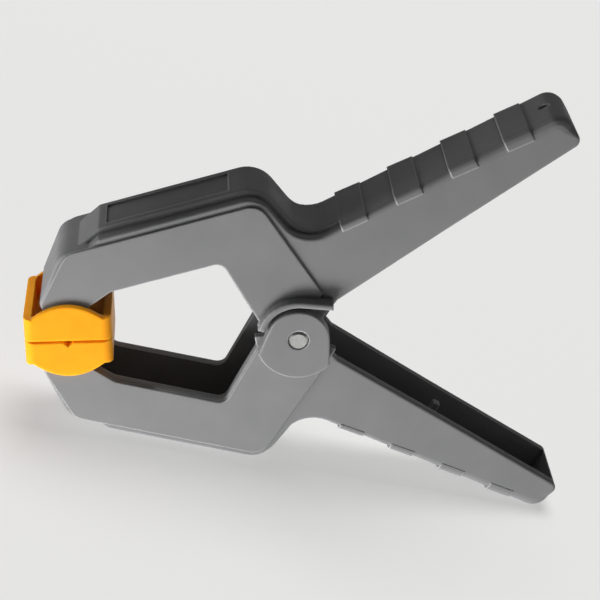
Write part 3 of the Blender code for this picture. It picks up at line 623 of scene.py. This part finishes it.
to_clamp = clamp_frame.inverted()
spots = [to_clamp @ vertex.co for vertex in nodes["torsion_spring"].data.vertices]
spots = [spot for spot in spots if spot.y < 0.0]
farthest = max(spots, key=lambda spot: spot.length)
rim = [spot for spot in spots if (spot - farthest).length < 3 * WIRE_RADIUS]
leg_end = sum(rim, Vector()) / len(rim)
leg_length = math.sqrt(leg_end.x**2 + leg_end.z**2 - COIL_RADIUS**2)
leg_lean = math.atan2(-leg_end.z, leg_end.x) - math.atan2(COIL_RADIUS, leg_length)
print(f"each leg is {leg_length * 1000:.1f} mm long, at {math.degrees(leg_lean):.2f} degrees")

# %% [markdown]
# ## The line of the wire
# The wire's centre line is drawn as points, first in the clamp's own directions and then carried
# to where the clamp stands. The coil is a helix. It joins the legs without a kink, because each
# leg leaves the coil along its tangent.

# %% Draw the coil and the legs
COIL_GAP = 0.0007
COIL_TURNS = 4
POINTS_PER_TURN = 40
LEG_STEPS = 14

first = -(leg_lean + math.pi / 2)
sweep = 2 * math.pi * (COIL_TURNS + 1) + 2 * first
half = (2 * WIRE_RADIUS + COIL_GAP) * sweep / (4 * math.pi)
count = math.ceil(POINTS_PER_TURN * sweep / (2 * math.pi))
coil = []
for step in range(count + 1):
    part = step / count
    turn = first - sweep * part
    coil.append(Vector((
        COIL_RADIUS * math.cos(turn), (2 * part - 1) * half, COIL_RADIUS * math.sin(turn)
    )))
down = Vector((math.cos(leg_lean), 0.0, -math.sin(leg_lean))) * leg_length
rise = Vector((math.cos(leg_lean), 0.0, math.sin(leg_lean))) * leg_length
lower_leg = [coil[0] + down * step / LEG_STEPS for step in range(LEG_STEPS, 0, -1)]
upper_leg = [coil[-1] + rise * step / LEG_STEPS for step in range(1, LEG_STEPS + 1)]
wire_line = [clamp_frame @ point for point in lower_leg + coil + upper_leg]
print(f"spring line: {len(wire_line)} points, coil {half * 2000:.1f} mm wide")

# %% [markdown]
# ## Stations along the wire
# A ring of corners will be carried along the line, and each ring needs a middle, a direction, a
# radius and how far along the wire it is. Each cut end gets one more, smaller ring, for the burr
# that is ground off.

# %% List the stations
END_CHAMFER = 0.0005


def wire_stations(line):
    last = len(line) - 1
    small = WIRE_RADIUS - END_CHAMFER
    stations = [(line[0], (line[1] - line[0]).normalized(), small, 0.0)]
    travelled = 0.0
    for index, point in enumerate(line):
        before = line[max(index - 1, 0)]
        after = line[min(index + 1, last)]
        travelled += (point - before).length
        inset = END_CHAMFER if index == 0 else -END_CHAMFER if index == last else 0.0
        ahead = (after - before).normalized()
        stations.append((point + ahead * inset, ahead, WIRE_RADIUS, travelled))
    stations.append((line[-1], (line[-1] - line[-2]).normalized(), small, travelled))
    return stations


stations = wire_stations(wire_line)
print(f"{len(stations)} stations on {stations[-1][3] * 1000:.0f} mm of wire")

# %% [markdown]
# ## Sweeping the wire
# At each station the ring must be square to the line and must not twist, so each ring's side
# direction is the last one, flattened onto the new cross plane. A curve with a bevel could do
# the same, but here each face also gets a place along and around the wire, which the finish uses
# for its drawn streaks.

# %% Sweep the wire
WIRE_SIDES = 16
UV_PER_METRE = 10


def wire_rings(shape, stations):
    side = Vector((0.0, 1.0, 0.0))
    rings = []
    for point, ahead, radius, run in stations:
        side = (side - ahead * side.dot(ahead)).normalized()
        other = ahead.cross(side)
        ring = []
        for corner in range(WIRE_SIDES):
            angle = 2 * math.pi * corner / WIRE_SIDES
            spoke = side * math.cos(angle) + other * math.sin(angle)
            ring.append(shape.verts.new(point + spoke * radius))
        rings.append((ring, run))
    return rings


def sweep_wire(name, stations):
    mesh = bpy.data.meshes.new(name)
    shape = bmesh.new()
    layer = shape.loops.layers.uv.new("along_wire")
    rings = wire_rings(shape, stations)
    for (ring, run), (later, later_run) in zip(rings, rings[1:]):
        for corner in range(WIRE_SIDES):
            beside = (corner + 1) % WIRE_SIDES
            face = shape.faces.new((ring[corner], ring[beside], later[beside], later[corner]))
            face.smooth = True
            around = (corner, corner + 1, corner + 1, corner)
            for loop, turn, along in zip(face.loops, around, (run, run, later_run, later_run)):
                loop[layer].uv = (turn / WIRE_SIDES, along * UV_PER_METRE)
    shape.faces.new(list(reversed(rings[0][0])))
    shape.faces.new(rings[-1][0])
    bmesh.ops.recalc_face_normals(shape, faces=shape.faces)
    shape.to_mesh(mesh)
    shape.free()
    piece = bpy.data.objects.new(name, mesh)
    bpy.context.scene.collection.objects.link(piece)
    return piece


spring = sweep_wire("spring_wire", stations)
print("spring wire:", len(spring.data.polygons), "faces")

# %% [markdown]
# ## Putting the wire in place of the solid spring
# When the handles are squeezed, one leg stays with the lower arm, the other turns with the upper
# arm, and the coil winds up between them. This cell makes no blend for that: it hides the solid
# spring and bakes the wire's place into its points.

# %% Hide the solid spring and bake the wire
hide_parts("torsion_spring")
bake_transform(spring)

# %% [markdown]
# ## Oiled spring steel
# Spring wire is drawn through a die, so fine streaks run along it, and it leaves the coiling
# machine with a dark oil film. The streaks come from a noise on the wire's own places, squeezed
# round the wire and stretched along it.

# %% Make the spring steel
OILED = (0.30, 0.30, 0.31)
OILED_PALE = (0.46, 0.46, 0.46)
STREAK_STRETCH = (40.0, 6.0, 1.0)
STREAK_DEPTH = 0.00001
OIL_PATCH = 0.003
OIL_ROUGHNESS = (0.30, 0.46)

spring_steel, tree, shader, place = new_finish("oiled_spring_steel")
along_wire = tree.nodes.new("ShaderNodeUVMap")
along_wire.uv_map = "along_wire"
streaks = noise(tree, along_wire.outputs["UV"], 1.0, 3.0, STREAK_STRETCH)
drawn = two_tone(tree, spread(tree, streaks, 0.0, 1.0), OILED, OILED_PALE)
tree.links.new(drawn, shader.inputs["Base Color"])
patches = spread(tree, noise(tree, place, OIL_PATCH), *OIL_ROUGHNESS)
tree.links.new(patches, shader.inputs["Roughness"])
tree.links.new(bump(tree, streaks, STREAK_DEPTH), shader.inputs["Normal"])
shader.inputs["Metallic"].default_value = 1.0
spring.data.materials.append(spring_steel)
print("spring steel on the wire")

# %% [markdown]
# The boxes of the solids and of the dressed clamp are both measured, and their sizes are printed
# in millimetres.

# %% Print both boxes
dressed_box = [list(corner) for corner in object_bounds()]
for name, box in (("solids", solid_box), ("dressed", dressed_box)):
    size = [round((high - low) * 1000, 1) for low, high in zip(*box)]
    print(name, size, "mm")
